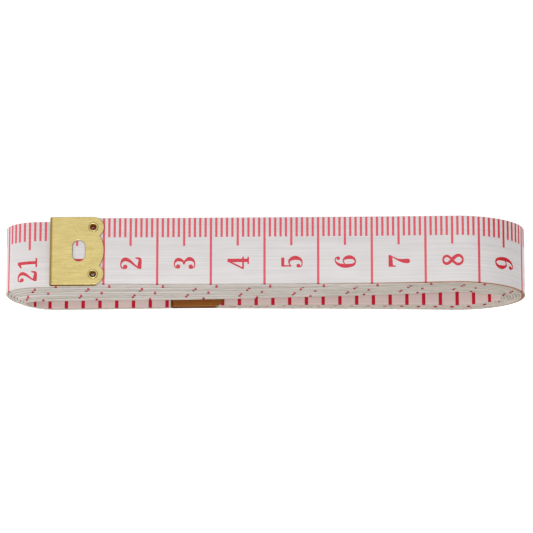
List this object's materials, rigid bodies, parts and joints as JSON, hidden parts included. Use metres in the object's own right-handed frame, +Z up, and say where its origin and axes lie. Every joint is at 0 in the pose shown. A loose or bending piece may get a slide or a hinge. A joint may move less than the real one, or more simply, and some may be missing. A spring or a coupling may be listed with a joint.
{
  "type": "cloth tape measure",
  "caption": "Dressmaker's tape measure: a narrow coated ribbon wound into a flat oblong coil, with a folded brass tip eyeletted to each end, for measuring cloth and bodies.",
  "frame": {"origin": "middle of the coil's flat underside, where it lies on a table", "axes": "+X along the coil's length to the right, +Y away from the viewer across the ribbon, +Z up"},
  "size_m": [0.0972, 0.0148, 0.0158],
  "materials": {
    "ribbon": "woven, coated, satin",
    "brass_sheet": "fine brushed",
    "brass_eyelet": "dull"
  },
  "bodies": {
    "coil": {"tape_coil": "ribbon", "end_ferrule": "brass_sheet", "end_eyelet_near": "brass_eyelet", "end_eyelet_far": "brass_eyelet"},
    "lead_1": {"tape_lead_1": "ribbon"},
    "lead_2": {"tape_lead_2": "ribbon"},
    "lead_3": {"tape_lead_3": "ribbon", "start_ferrule": "brass_sheet", "start_eyelet_near": "brass_eyelet", "start_eyelet_far": "brass_eyelet"}
  },
  "joints": [
    {"name": "lead_1_lift", "type": "hinge", "parent": "coil", "child": "lead_1", "pos_m": [0.03221, 0, 0.01571], "axis": [0, 1, 0], "range_deg": [0, 25]},
    {"name": "lead_2_lift", "type": "hinge", "parent": "lead_1", "child": "lead_2", "pos_m": [0.01222, 0, 0.01527], "axis": [0, 1, 0], "range_deg": [0, 25]},
    {"name": "lead_3_lift", "type": "hinge", "parent": "lead_2", "child": "lead_3", "pos_m": [-0.00778, 0, 0.01484], "axis": [0, 1, 0], "range_deg": [0, 25]}
  ]
}
